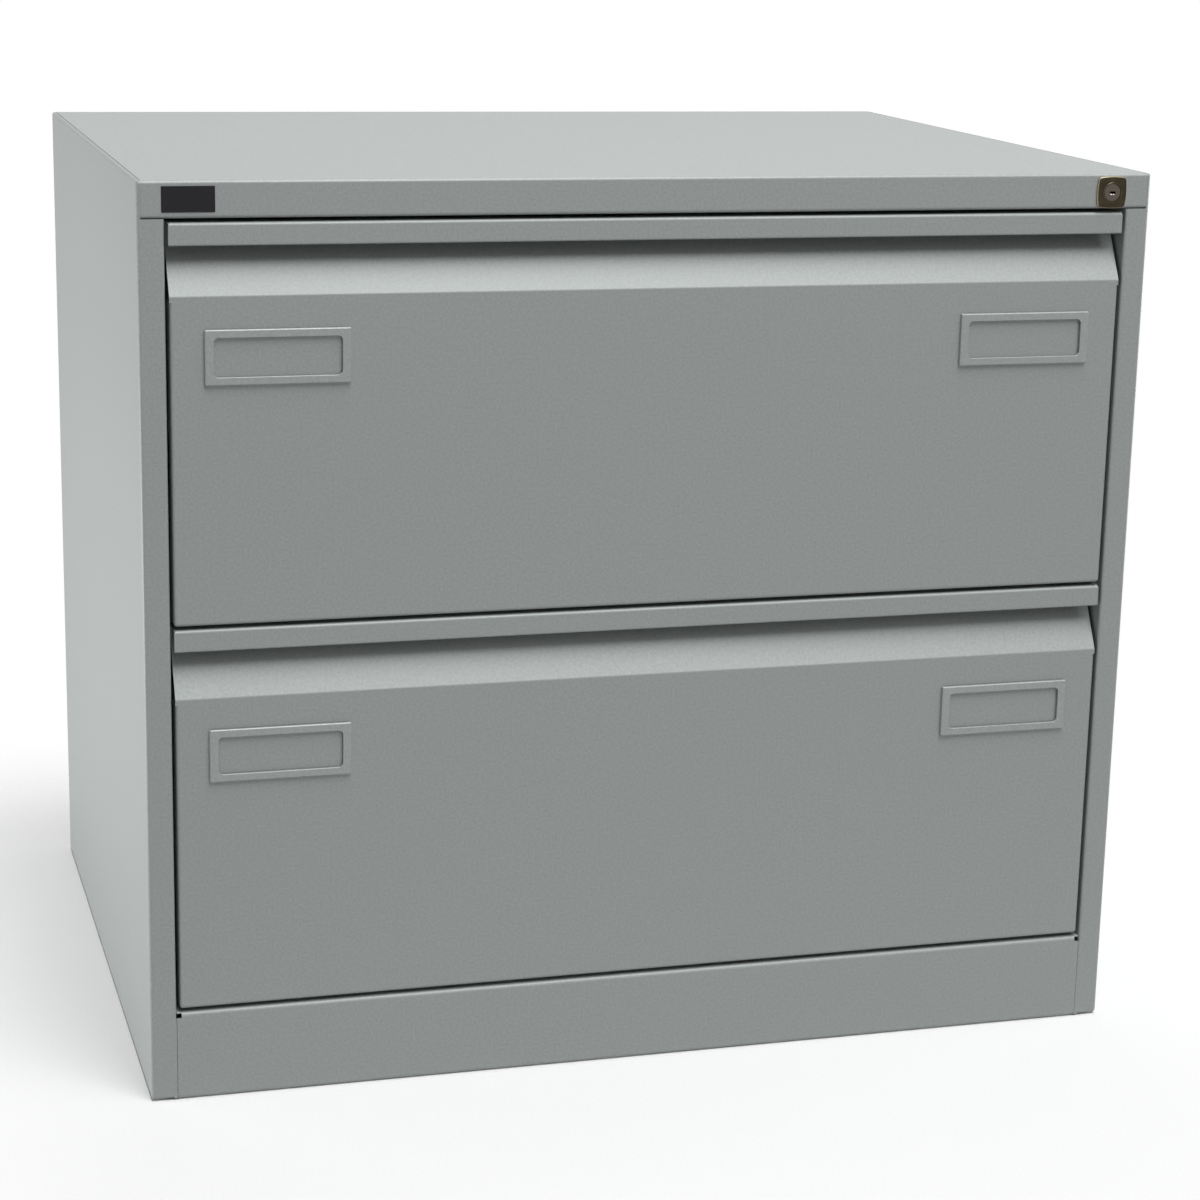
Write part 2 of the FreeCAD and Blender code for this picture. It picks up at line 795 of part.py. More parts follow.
def label_frames(drawer):
    """Two raised frames on the front, each with a window and a pocket behind it for a card."""
    top = drawer_floor(drawer) + front_height - grip_height - label_drop
    outer_x = front_half - label_inset
    low = [outer_x - label_width, front_y - label_proud, top - label_height]
    frame = rounded_box(low, [outer_x, front_y, top], label_edge_radius, 1, front_y)
    window = block(
        low[0] + label_side_border, outer_x - label_side_border, low[1] - cut_overrun, front_y + cut_overrun,
        low[2] + label_end_border, top - label_end_border,
    )
    corners = [edge for edge in window.Edges if abs(edge.tangentAt(edge.FirstParameter).y) > 1 / 2]
    pocket = block(
        low[0] + card_rim, outer_x - card_rim, front_y - card_pocket, front_y + cut_overrun,
        low[2] + card_rim, top + cut_overrun,
    )
    frame = frame.cut(window.makeFillet(label_window_radius, corners))
    inside = window.BoundBox
    inside.enlarge(point_tolerance)
    rim = [edge for edge in edges_at_y(frame, low[1]) if inside.isInside(edge.CenterOfMass)]
    frame = frame.makeFillet(label_window_edge, rim).cut(pocket)
    return Part.makeCompound([frame, mirrored(frame)])


def rosette_outline(y):
    """Square with outward curved sides and sharp corners, round the axis of the lock."""
    half = rosette_width / 2
    out = half + rosette_bulge
    corners = [(-half, -half), (half, -half), (half, half), (-half, half)]
    middles = [(0, -out), (out, 0), (0, out), (-out, 0)]
    edges = []
    for start, middle, end in zip(corners, middles, corners[1:] + corners[:1]):
        arc = [Vector(lock_x + x, y, lock_z + z) for x, z in (start, middle, end)]
        edges.append(Part.Arc(*arc).toShape())
    return Part.Wire(edges)


def lock_rod(diameter, y_low, y_high):
    """Cylinder on the axis of the lock."""
    return Part.makeCylinder(diameter / 2, y_high - y_low, Vector(lock_x, y_low, lock_z), Vector(0, 1, 0))


def lock_housing():
    """Cast housing: the rosette and its collar in front of the lip, and the barrel behind it."""
    plate_y = front_y - rosette_plate
    plate = Part.Face(rosette_outline(plate_y)).extrude(Vector(0, rosette_plate, 0))
    corners = [edge for edge in plate.Edges if edge.BoundBox.YLength > rosette_plate / 2]
    plate = plate.makeFillet(rosette_corner_radius, corners)
    plate = plate.makeFillet(rosette_edge_radius, edges_at_y(plate, plate_y))
    collar_y = plate_y - lock_collar_proud
    collar = lock_rod(lock_collar_diameter, collar_y, front_y)
    collar = collar.makeFillet(lock_collar_edge, edges_at_y(collar, collar_y))
    barrel = lock_rod(lock_barrel_diameter, front_y - rosette_plate / 2, front_y + lock_barrel_length)
    bore_diameter = plug_diameter + 2 * plug_play
    bore = lock_rod(bore_diameter, plate_y - cut_overrun, front_y + lock_barrel_length + cut_overrun)
    return joined([plate, collar, barrel]).cut(bore)


def lock_nut():
    """Hexagon nut that clamps the housing to the lip from behind."""
    radius = lock_nut_width / 2 / math.cos(math.pi / 6)
    seat = front_y + case_sheet
    corners = []
    for number in range(6):
        angle = number * math.pi / 3
        corners.append(Vector(lock_x + radius * math.cos(angle), seat, lock_z + radius * math.sin(angle)))
    nut = Part.Face(Part.makePolygon(corners + corners[:1])).extrude(Vector(0, lock_nut_thickness, 0))
    bore_diameter = lock_barrel_diameter + 2 * plug_play
    return nut.cut(lock_rod(bore_diameter, seat - cut_overrun, seat + lock_nut_thickness + cut_overrun))


plug_front_y = front_y - rosette_plate - lock_collar_proud + plug_recess
plug_end_y = lock_bar_y - plug_bar_gap
cam_y = plug_end_y - cam_thickness


def lock_cylinder():
    """Plug with its key slot, whose lower edge leads the key in, and a stub at the back for the cam."""
    plug = lock_rod(plug_diameter, plug_front_y, cam_y)
    plug = plug.makeFillet(plug_edge, edges_at_y(plug, plug_front_y))
    stub = lock_rod(plug_stub_diameter, cam_y, plug_end_y)
    slot = block(
        lock_x - key_slot_width / 2, lock_x + key_slot_width / 2,
        plug_front_y - cut_overrun, plug_front_y + key_slot_depth,
        lock_z - key_slot_height / 2, lock_z + key_slot_height / 2,
    )
    slot_low = lock_z - key_slot_height / 2
    lead = [
        (plug_front_y, slot_low - key_lead_height), (plug_front_y + key_lead_depth, slot_low),
        (plug_front_y, slot_low),
    ]
    side = key_lead_space / 2
    right_lead = plate_along_x(lead, lock_x + side, lock_x + side + key_lead_width)
    left_lead = plate_along_x(lead, lock_x - side - key_lead_width, lock_x - side)
    thread = lock_rod(cam_screw_diameter, plug_end_y - cam_screw_length, plug_end_y + cut_overrun)
    return joined([plug, stub]).cut(slot).cut(right_lead).cut(left_lead).cut(thread)


def cam_pin_place(y):
    """Middle of the cam's pin with the lock open."""
    angle = math.radians(cam_rest_angle)
    x = lock_x + cam_pin_radius * math.cos(angle)
    return Vector(x, y, lock_z + cam_pin_radius * math.sin(angle))


def lock_cam():
    """Crank on the plug's stub, whose pin lifts the lock bar."""
    hub = lock_rod(cam_width, cam_y, plug_end_y)
    end = Part.makeCylinder(cam_width / 2, cam_thickness, cam_pin_place(cam_y), Vector(0, 1, 0))
    half = cam_width / 2
    arm = block(lock_x, lock_x + cam_pin_radius, cam_y, plug_end_y, lock_z - half, lock_z + half)
    arm.rotate(Vector(lock_x, cam_y, lock_z), Vector(0, -1, 0), cam_rest_angle)
    pin_end = lock_bar_y + lock_bar_sheet + cam_pin_tip
    pin = Part.makeCylinder(
        cam_pin_diameter / 2, pin_end - cam_y, cam_pin_place(cam_y), Vector(0, 1, 0)
    )
    hole = lock_rod(plug_stub_diameter + 2 * plug_play, cam_y - cut_overrun, plug_end_y + cut_overrun)
    return joined([hub, end, arm, pin]).cut(hole)


def lock_cam_screw():
    """Screw that holds the cam on the plug."""
    shank = lock_rod(cam_screw_diameter - 2 * plug_play, plug_end_y - cam_screw_length, plug_end_y)
    head = lock_rod(cam_screw_head_diameter, plug_end_y, plug_end_y + cam_screw_head_height)
    return joined([shank, head])


lock_bar_x = wall_x - lock_bar_inset
lug_x = drawer_half + lug_gap


def lock_bar():
    """Flat bar with a slotted arm at the top, round the cam's pin, and a lug below each drawer's catch."""
    back = lock_bar_y + lock_bar_sheet
    pin = cam_pin_place(lock_bar_y)
    slot_half = cam_pin_diameter / 2 + lock_slot_play
    arm_half = slot_half + lock_arm_border
    slot_low = pin.x - slot_half
    slot_high = lock_x + cam_pin_radius + slot_half
    leg_low = lock_bar_x - lock_bar_width
    arm_low = pin.z - arm_half
    arm_high = pin.z + arm_half
    pieces = [block(slot_low - lock_arm_border, lock_bar_x, lock_bar_y, back, arm_low, arm_high)]
    for drawer in range(drawer_count):
        lug_top = drawer_floor(drawer) + catch_rise - catch_clearance
        pieces.append(block(lug_x, lock_bar_x, lock_bar_y, back, lug_top - lug_height, lug_top))
    leg_bottom = drawer_floor(0) + catch_rise - catch_clearance - lug_height
    pieces.append(block(leg_low, lock_bar_x, lock_bar_y, back, leg_bottom, arm_high))
    slot = block(
        slot_low, slot_high, lock_bar_y - cut_overrun, back + cut_overrun,
        pin.z - slot_half, pin.z + slot_half,
    )
    return joined(pieces).cut(slot)


def lock_bar_guides():
    """Loops on the right side panel in which the lock bar slides."""
    leg_low = lock_bar_x - lock_bar_width - guide_play
    leg_high = lock_bar_x + guide_play
    bar_front = lock_bar_y - guide_play
    bar_back = lock_bar_y + lock_bar_sheet + guide_play
    guides = []
    for drawer in range(drawer_count):
        low = drawer_floor(drawer) + guide_rise
        high = low + guide_height
        loop = block(leg_low - guide_wall, wall_x, bar_front - guide_wall, bar_back + guide_wall, low, high)
        way = block(leg_low, leg_high, bar_front, bar_back, low - cut_overrun, high + cut_overrun)
        guides.append(loop.cut(way))
    return Part.makeCompound(guides)


def lock_catch(drawer):
    """Angle on the drawer's right side, which the raised lug of the lock bar holds back."""
    low = drawer_floor(drawer) + catch_rise
    high = low + catch_height
    start = lock_bar_y + lock_bar_sheet + catch_clearance
    base = block(drawer_half, drawer_half + catch_sheet, start, start + catch_base_length, low, high)
    tab = block(drawer_half, drawer_half + catch_reach, start, start + catch_sheet, low, high)
    return joined([base, tab])


def badge_plate():
    """Thin blank plate on the front of the lip."""
    left = -half_width + badge_inset
    top = overall_height - badge_drop
    low = [left, front_y - badge_proud, top - badge_height]
    return rounded_box(low, [left + badge_width, front_y, top], badge_edge_radius, 1, front_y)


pieces = {
    "right_side_panel": right_side_panel(),
    "top_panel": top_panel(),
    "back_panel": back_panel(),
    "front_plinth": front_plinth(),
    "base_panel": base_panel(),
    "rear_base_rail": rear_base_rail(),
    "right_front_post": right_post(front_post_y),
    "right_rear_post": right_post(rear_post_y),
    "slide_screws": slide_screws(),
    "lock_housing": lock_housing(),
    "lock_nut": lock_nut(),
    "lock_cylinder": lock_cylinder(),
    "lock_cam": lock_cam(),
    "lock_cam_screw": lock_cam_screw(),
    "lock_bar": lock_bar(),
    "lock_bar_guides": lock_bar_guides(),
    "badge_plate": badge_plate(),
}
for name in ("side_panel", "front_post", "rear_post"):
    pieces["left_" + name] = mirrored(pieces["right_" + name])

for drawer, level in enumerate(("lower", "upper")):
    members = slide_members(drawer)
    for name, member in members.items():
        pieces["%s_right_slide_%s" % (level, name)] = member
        pieces["%s_left_slide_%s" % (level, name)] = mirrored(member)
    side = drawer_right_side(drawer)
    drawer_pieces = {
        "front": drawer_front(drawer),
        "inner_front": drawer_inner_front(drawer),
        "drawer_right_side": side,
        "drawer_left_side": mirrored(side),
        "drawer_back": drawer_back(drawer),
        "drawer_bottom": drawer_bottom(drawer),
        "centre_rail": drawer_centre_rail(drawer),
        "label_frames": label_frames(drawer),
        "drawer_screws": drawer_screws(drawer),
        "lock_catch": lock_catch(drawer),
        "outer_cages": slide_cages(drawer, slide_sheet + ball_play, outer_ball_reach, middle_edge),
        "inner_cages": slide_cages(drawer, inner_tip - ball_play - cage_sheet, inner_ball_reach, inner_edge),
        "outer_balls": slide_balls(drawer, outer_ball_reach, middle_edge),
        "inner_balls": slide_balls(drawer, inner_ball_reach, inner_edge),
    }
    for name, piece in drawer_pieces.items():
        pieces["%s_%s" % (level, name)] = piece

os.makedirs("parts", exist_ok=True)
for name, piece in pieces.items():
    piece.exportStep("parts/%s.step" % name)
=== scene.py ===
import bpy
import math
from mathutils import Matrix, Vector


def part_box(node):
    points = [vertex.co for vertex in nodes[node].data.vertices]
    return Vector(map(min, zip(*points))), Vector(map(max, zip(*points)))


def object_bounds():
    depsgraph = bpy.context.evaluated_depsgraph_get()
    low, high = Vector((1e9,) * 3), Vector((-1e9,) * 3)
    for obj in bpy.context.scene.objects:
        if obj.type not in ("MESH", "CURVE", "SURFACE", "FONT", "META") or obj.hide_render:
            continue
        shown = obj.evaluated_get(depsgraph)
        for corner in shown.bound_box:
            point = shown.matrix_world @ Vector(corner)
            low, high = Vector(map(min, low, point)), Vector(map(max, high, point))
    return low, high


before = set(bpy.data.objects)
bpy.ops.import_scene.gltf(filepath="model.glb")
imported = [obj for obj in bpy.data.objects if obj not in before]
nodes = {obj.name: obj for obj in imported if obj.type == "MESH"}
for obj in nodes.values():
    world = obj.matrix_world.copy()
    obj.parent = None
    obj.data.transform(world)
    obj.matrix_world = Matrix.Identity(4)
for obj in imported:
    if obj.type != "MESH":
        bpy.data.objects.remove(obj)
cad_low, cad_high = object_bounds()

# Case: sides with their stiles, top, back, plinth, base, rear rail and uprights, folded from 1 mm
# sheet steel, welded, then sprayed with one coat of silver-grey powder and baked.
powder_grey = "A2A7A6"
case_flakes = ("989D9C", "ABB0AF")
case_rough = (0.45, 0.55)
powder_metallic = 0.2
# The flakes are a few hundredths of a millimetre across, and are drawn coarser so that they show.
flake_mm = 2.0
flake_limits = (0.3, 0.7)
powder_drift_mm = 140.0
powder_drift_share = 0.4
peel_mm = 2.2
peel_depth_mm = 0.018
sheet_wave_mm = 190.0
sheet_wave_depth_mm = 0.12
# A colour mix has other sockets of the same names, so its own are taken by number.
mix_share, mix_from, mix_to, mix_colour = 0, 6, 7, 2


def paint(hex_colour):
    """Linear colour of an sRGB hex value."""
    parts = [int(hex_colour[i:i + 2], 16) / 255 for i in (0, 2, 4)]
    return [c / 12.92 if c <= 0.04045 else ((c + 0.055) / 1.055) ** 2.4 for c in parts] + [1.0]


def add_node(tree, kind, settings=None, inputs=None):
    """One node with its settings, and each input set to a value or linked to a socket."""
    node = tree.nodes.new(kind)
    for name, value in (settings or {}).items():
        setattr(node, name, value)
    for name, value in (inputs or {}).items():
        if isinstance(value, bpy.types.NodeSocket):
            tree.links.new(value, node.inputs[name])
        else:
            node.inputs[name].default_value = value
    return node


def new_material(name):
    """Empty material, with its node tree and the place of the surface in metres."""
    material = bpy.data.materials.new(name)
    material.use_nodes = True
    material.node_tree.nodes.clear()
    place = add_node(material.node_tree, "ShaderNodeTexCoord").outputs["Object"]
    return material, material.node_tree, place


def metres(size_mm):
    """A size in millimetres, in metres."""
    return size_mm / 1000


def per_metre(size_mm):
    """Pattern scale whose features are this many millimetres wide."""
    return 1000 / size_mm


def powder_coat(name, flakes, rough_limits):
    """Baked powder with fine aluminium flake: satin, faintly mottled, with a shallow orange peel."""
    material, tree, place = new_material(name)
    grain = add_node(tree, "ShaderNodeTexNoise", inputs={
        "Vector": place, "Scale": per_metre(flake_mm), "Detail": 3.0, "Roughness": 0.55})
    flake = add_node(tree, "ShaderNodeMapRange", inputs={
        "Value": grain.outputs["Fac"], "From Min": flake_limits[0], "From Max": flake_limits[1]})
    mottled = add_node(tree, "ShaderNodeMix", {"data_type": "RGBA"}, {
        mix_share: flake.outputs["Result"], mix_from: paint(flakes[0]), mix_to: paint(flakes[1])})
    drift = add_node(tree, "ShaderNodeTexNoise", inputs={
        "Vector": place, "Scale": per_metre(powder_drift_mm), "Detail": 2.0})
    even = add_node(tree, "ShaderNodeMapRange", inputs={
        "Value": drift.outputs["Fac"], "To Max": powder_drift_share})
    colour = add_node(tree, "ShaderNodeMix", {"data_type": "RGBA"}, {
        mix_share: even.outputs["Result"], mix_from: mottled.outputs[mix_colour],
        mix_to: paint(powder_grey)})
    rough = add_node(tree, "ShaderNodeMapRange", inputs={
        "Value": grain.outputs["Fac"], "To Min": rough_limits[0], "To Max": rough_limits[1]})
    peel = add_node(tree, "ShaderNodeTexNoise", inputs={
        "Vector": place, "Scale": per_metre(peel_mm), "Detail": 2.0})
    wave = add_node(tree, "ShaderNodeTexNoise", inputs={
        "Vector": place, "Scale": per_metre(sheet_wave_mm), "Detail": 0.0})
    waved = add_node(tree, "ShaderNodeBump", inputs={
        "Strength": 1.0, "Distance": metres(sheet_wave_depth_mm), "Height": wave.outputs["Fac"]})
    peeled = add_node(tree, "ShaderNodeBump", inputs={
        "Strength": 1.0, "Distance": metres(peel_depth_mm), "Height": peel.outputs["Fac"],
        "Normal": waved.outputs["Normal"]})
    surface = add_node(tree, "ShaderNodeBsdfPrincipled", inputs={
        "Base Color": colour.outputs[mix_colour], "Metallic": powder_metallic,
        "Roughness": rough.outputs["Result"], "Normal": peeled.outputs["Normal"]})
    add_node(tree, "ShaderNodeOutputMaterial", inputs={"Surface": surface.outputs["BSDF"]})
    return material


def finish_pieces(names, material):
    """Gives each of these pieces the one material."""
    for name in names:
        nodes[name].data.materials.clear()
        nodes[name].data.materials.append(material)


case_coat = powder_coat("silver_powder_coat", case_flakes, case_rough)
finish_pieces([
    "left_side_panel", "right_side_panel", "top_panel", "back_panel", "front_plinth", "base_panel",
    "rear_base_rail", "left_front_post", "right_front_post", "left_rear_post", "right_rear_post",
], case_coat)

# Drawers: a folded front with its grip channel, an inner skin, sides with file rails, a back, a
# beaded bottom and a centre rail, all folded from sheet steel and coated in the case's powder.
levels = ("upper", "lower")
coated_pieces = (
    "front", "inner_front", "drawer_right_side", "drawer_left_side", "drawer_back",
    "drawer_bottom", "centre_rail",
)
for level in levels:
    finish_pieces(["%s_%s" % (level, piece) for piece in coated_pieces], case_coat)

# Card frames: two moulded frames on each front, with a pocket behind for a card, fixed flat on
# the sheet and sprayed to match it, a little smoother and lighter.
frame_flakes = ("A0A5A4", "B0B5B4")
frame_rough = (0.32, 0.40)
frame_coat = powder_coat("silver_frame_coat", frame_flakes, frame_rough)
finish_pieces([level + "_label_frames" for level in levels], frame_coat)

# Slides, their screws and cages, and the lock's bar, guides, catches, cam and nut: steel strip,
# pressed or stamped, then zinc plated. The screws and the nut are turned and plated alike.
zinc_bright = "B8BBBD"
zinc_dull = "A2A6A9"
zinc_rough = (0.38, 0.54)
# Real rolling lines lie about a tenth of a millimetre apart, and are drawn coarser to show.
rolling_line_mm = 0.8
rolling_length_mm = 60.0
rolling_depth_mm = 0.01
rolling_strength = 0.4
zinc_cloud_mm = 9.0


def zinc_plate():
    """Zinc-plated rolled strip: bluish metal, with long fine rolling lines and cloudy plating."""
    material, tree, place = new_material("zinc_plated_steel")
    along = add_node(tree, "ShaderNodeMapping", inputs={
        "Vector": place,
        "Scale": [per_metre(size) for size in (rolling_line_mm, rolling_length_mm, rolling_line_mm)]})
    lines = add_node(tree, "ShaderNodeTexNoise", inputs={
        "Vector": along.outputs["Vector"], "Scale": 1.0, "Detail": 2.0})
    clouds = add_node(tree, "ShaderNodeTexNoise", inputs={
        "Vector": place, "Scale": per_metre(zinc_cloud_mm), "Detail": 3.0})
    colour = add_node(tree, "ShaderNodeMix", {"data_type": "RGBA"}, {
        mix_share: clouds.outputs["Fac"], mix_from: paint(zinc_dull), mix_to: paint(zinc_bright)})
    rough = add_node(tree, "ShaderNodeMapRange", inputs={
        "Value": lines.outputs["Fac"], "To Min": zinc_rough[0], "To Max": zinc_rough[1]})
    lined = add_node(tree, "ShaderNodeBump", inputs={
        "Strength": rolling_strength, "Distance": metres(rolling_depth_mm),
        "Height": lines.outputs["Fac"]})
    surface = add_node(tree, "ShaderNodeBsdfPrincipled", inputs={
        "Base Color": colour.outputs[mix_colour], "Metallic": 1.0,
        "Roughness": rough.outputs["Result"], "Normal": lined.outputs["Normal"]})
    add_node(tree, "ShaderNodeOutputMaterial", inputs={"Surface": surface.outputs["BSDF"]})
    return material


plated = ["slide_screws", "lock_nut", "lock_bar_guides", "lock_cam", "lock_cam_screw", "lock_bar"]
for level in levels:
    plated += ["%s_%s" % (level, piece)
               for piece in ("drawer_screws", "lock_catch", "outer_cages", "inner_cages")]
    plated += ["%s_%s_slide_%s" % (level, side, member)
               for side in ("left", "right") for member in ("outer", "middle", "inner")]
finish_pieces(plated, zinc_plate())

# Balls of the slides: hardened bearing steel, ground, polished and packed with a little grease.
# They run loose in the holes of the cages.
ball_steel = "D2D3D5"
ball_grease = "B4B1A6"
ball_rough = (0.05, 0.25)
grease_film_mm = 1.2


def polished_balls():
    """Polished bearing steel: mirror bright, dulled in patches by a thin film of grease."""
    material, tree, place = new_material("polished_ball_steel")
    film = add_node(tree, "ShaderNodeTexNoise", inputs={
        "Vector": place, "Scale": per_metre(grease_film_mm), "Detail": 2.0})
    colour = add_node(tree, "ShaderNodeMix", {"data_type": "RGBA"}, {
        mix_share: film.outputs["Fac"], mix_from: paint(ball_steel), mix_to: paint(ball_grease)})
    rough = add_node(tree, "ShaderNodeMapRange", inputs={
        "Value": film.outputs["Fac"], "To Min": ball_rough[0], "To Max": ball_rough[1]})
    surface = add_node(tree, "ShaderNodeBsdfPrincipled", inputs={
        "Base Color": colour.outputs[mix_colour], "Metallic": 1.0,
        "Roughness": rough.outputs["Result"]})
    add_node(tree, "ShaderNodeOutputMaterial", inputs={"Surface": surface.outputs["BSDF"]})
    return material


ball_rows = ["%s_%s_balls" % (level, row) for level in levels for row in ("outer", "inner")]
finish_pieces(ball_rows, polished_balls())

# Lock housing: a zinc die casting with a square, bulging rosette, held behind the lip by its nut
# and plated in dark bronze. The plating has rubbed off to a paler metal along the rosette's
# rounded edge and on the collar round the plug.
bronze_dark = "2D281F"
bronze_light = "494234"
bronze_rubbed = "A79E86"
bronze_rough = (0.24, 0.42)
# The real cast grain is about a tenth of a millimetre, and is drawn coarser to show.
cast_grain_mm = 0.7
cast_depth_mm = 0.02
cast_strength = 0.5
bronze_cloud_mm = 5.6
collar_proud_mm = 0.8
rubbed_edge_mm = (0.1, 0.4)
rubbed_collar_mm = (0.02, 0.2)
rubbed_collar_share = 0.5
collar_root_mm = (0.1, 0.3)


def dark_bronze():
    """Bronze plating: dark olive-brown metal, cloudy, with a fine cast grain and worn edges."""
    material, tree, place = new_material("dark_bronze_plating")
    collar_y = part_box("lock_housing")[0].y
    face_y = collar_y + metres(collar_proud_mm)
    depth = add_node(tree, "ShaderNodeSeparateXYZ", inputs={"Vector": place}).outputs["Y"]
    edge = add_node(tree, "ShaderNodeMapRange", inputs={
        "Value": depth, "From Min": face_y + metres(rubbed_edge_mm[0]),
        "From Max": face_y + metres(rubbed_edge_mm[1])})
    collar_side = add_node(tree, "ShaderNodeMapRange", inputs={
        "Value": depth, "From Min": collar_y + metres(rubbed_collar_mm[0]),
        "From Max": collar_y + metres(rubbed_collar_mm[1]), "To Max": rubbed_collar_share})
    before_face = add_node(tree, "ShaderNodeMapRange", inputs={
        "Value": depth, "From Min": face_y - metres(collar_root_mm[0]),
        "From Max": face_y - metres(collar_root_mm[1])})
    collar = add_node(tree, "ShaderNodeMath", {"operation": "MULTIPLY"}, {
        0: collar_side.outputs["Result"], 1: before_face.outputs["Result"]})
    worn = add_node(tree, "ShaderNodeMath", {"operation": "MAXIMUM"}, {
        0: edge.outputs["Result"], 1: collar.outputs["Value"]})
    cloud = add_node(tree, "ShaderNodeTexNoise", inputs={
        "Vector": place, "Scale": per_metre(bronze_cloud_mm), "Detail": 3.0})
    plating = add_node(tree, "ShaderNodeMix", {"data_type": "RGBA"}, {
        mix_share: cloud.outputs["Fac"], mix_from: paint(bronze_dark), mix_to: paint(bronze_light)})
    colour = add_node(tree, "ShaderNodeMix", {"data_type": "RGBA"}, {
        mix_share: worn.outputs["Value"], mix_from: plating.outputs[mix_colour],
        mix_to: paint(bronze_rubbed)})
    grain = add_node(tree, "ShaderNodeTexNoise", inputs={
        "Vector": place, "Scale": per_metre(cast_grain_mm), "Detail": 2.0})
    rough = add_node(tree, "ShaderNodeMapRange", inputs={
        "Value": grain.outputs["Fac"], "To Min": bronze_rough[0], "To Max": bronze_rough[1]})
    cast = add_node(tree, "ShaderNodeBump", inputs={
        "Strength": cast_strength, "Distance": metres(cast_depth_mm),
        "Height": grain.outputs["Fac"]})
    surface = add_node(tree, "ShaderNodeBsdfPrincipled", inputs={
        "Base Color": colour.outputs[mix_colour], "Metallic": 1.0,
        "Roughness": rough.outputs["Result"], "Normal": cast.outputs["Normal"]})
    add_node(tree, "ShaderNodeOutputMaterial", inputs={"Surface": surface.outputs["BSDF"]})
    return material


finish_pieces(["lock_housing"], dark_bronze())

# Lock plug: turned brass with a dull nickel plating, with the key slot cut in its face, and a
# painted highlight along the slot's lower edge. It turns in the housing.
nickel_dark = "3A3631"
nickel_dull = "6F6860"
# Near-white nickel and a lower roughness, painted on the key slot's lower edge as a painted
# highlight.
nickel_glint = "E6E2DA"
nickel_dull_rough = 0.38
nickel_glint_rough = 0.22
# Real turning rings lie about a tenth of a millimetre apart, and are drawn coarser to show.
turning_mm = 0.35
turning_depth_mm = 0.02
turning_strength = 0.6
key_edge_depth_mm = (0.05, 0.2)
key_edge_drop_mm = (0.9, 1.1)


def turned_nickel():
    """Dull nickel on turned brass: grey rings round the lock's axis, and a painted highlight on the
    key slot's lower edge.
    """
    material, tree, place = new_material("dull_nickel_plug")
    low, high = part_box("lock_cylinder")
    middle = (low + high) / 2
    centred = add_node(tree, "ShaderNodeVectorMath", {"operation": "SUBTRACT"}, {
        0: place, 1: (middle.x, low.y, middle.z)})
    flat = add_node(tree, "ShaderNodeVectorMath", {"operation": "MULTIPLY"}, {
        0: centred.outputs["Vector"], 1: (1.0, 0.0, 1.0)})
    reach = add_node(tree, "ShaderNodeVectorMath", {"operation": "LENGTH"}, {
        0: flat.outputs["Vector"]})
    rings = add_node(tree, "ShaderNodeTexNoise", {"noise_dimensions": "1D"}, {
        "W": reach.outputs["Value"], "Scale": per_metre(turning_mm), "Detail": 2.0})
    dull = add_node(tree, "ShaderNodeMix", {"data_type": "RGBA"}, {
        mix_share: rings.outputs["Fac"], mix_from: paint(nickel_dark), mix_to: paint(nickel_dull)})
    axes = add_node(tree, "ShaderNodeSeparateXYZ", inputs={"Vector": centred.outputs["Vector"]})
    # Painted highlight: just behind the face and below the axis, along the key slot's lower edge, the
    # colour goes to near-white nickel and the surface glossier.
    behind_face = add_node(tree, "ShaderNodeMapRange", inputs={
        "Value": axes.outputs["Y"], "From Min": metres(key_edge_depth_mm[0]),
        "From Max": metres(key_edge_depth_mm[1])})
    below_axis = add_node(tree, "ShaderNodeMapRange", inputs={
        "Value": axes.outputs["Z"], "From Min": -metres(key_edge_drop_mm[0]),
        "From Max": -metres(key_edge_drop_mm[1])})
    glint_mask = add_node(tree, "ShaderNodeMath", {"operation": "MULTIPLY"}, {
        0: behind_face.outputs["Result"], 1: below_axis.outputs["Result"]})
    colour = add_node(tree, "ShaderNodeMix", {"data_type": "RGBA"}, {
        mix_share: glint_mask.outputs["Value"], mix_from: dull.outputs[mix_colour],
        mix_to: paint(nickel_glint)})
    rough = add_node(tree, "ShaderNodeMapRange", inputs={
        "Value": glint_mask.outputs["Value"], "To Min": nickel_dull_rough,
        "To Max": nickel_glint_rough})
    turned = add_node(tree, "ShaderNodeBump", inputs={
        "Strength": turning_strength, "Distance": metres(turning_depth_mm),
        "Height": rings.outputs["Fac"]})
    surface = add_node(tree, "ShaderNodeBsdfPrincipled", inputs={
        "Base Color": colour.outputs[mix_colour], "Metallic": 1.0,
        "Roughness": rough.outputs["Result"], "Normal": turned.outputs["Normal"]})
    add_node(tree, "ShaderNodeOutputMaterial", inputs={"Surface": surface.outputs["BSDF"]})
    return material


finish_pieces(["lock_cylinder"], turned_nickel())

# Blank plate at the left of the lip: a thin piece of stiff plastic film, printed dark all over,
# lacquered and bare, glued flat on the coat.
plate_dark = "0E0C10"
plate_light = "1C1920"
plate_rough = (0.25, 0.38)
lacquer_ior = 1.33
# The real print grain is about a tenth of a millimetre, and is drawn coarser to show.
print_grain_mm = 0.9


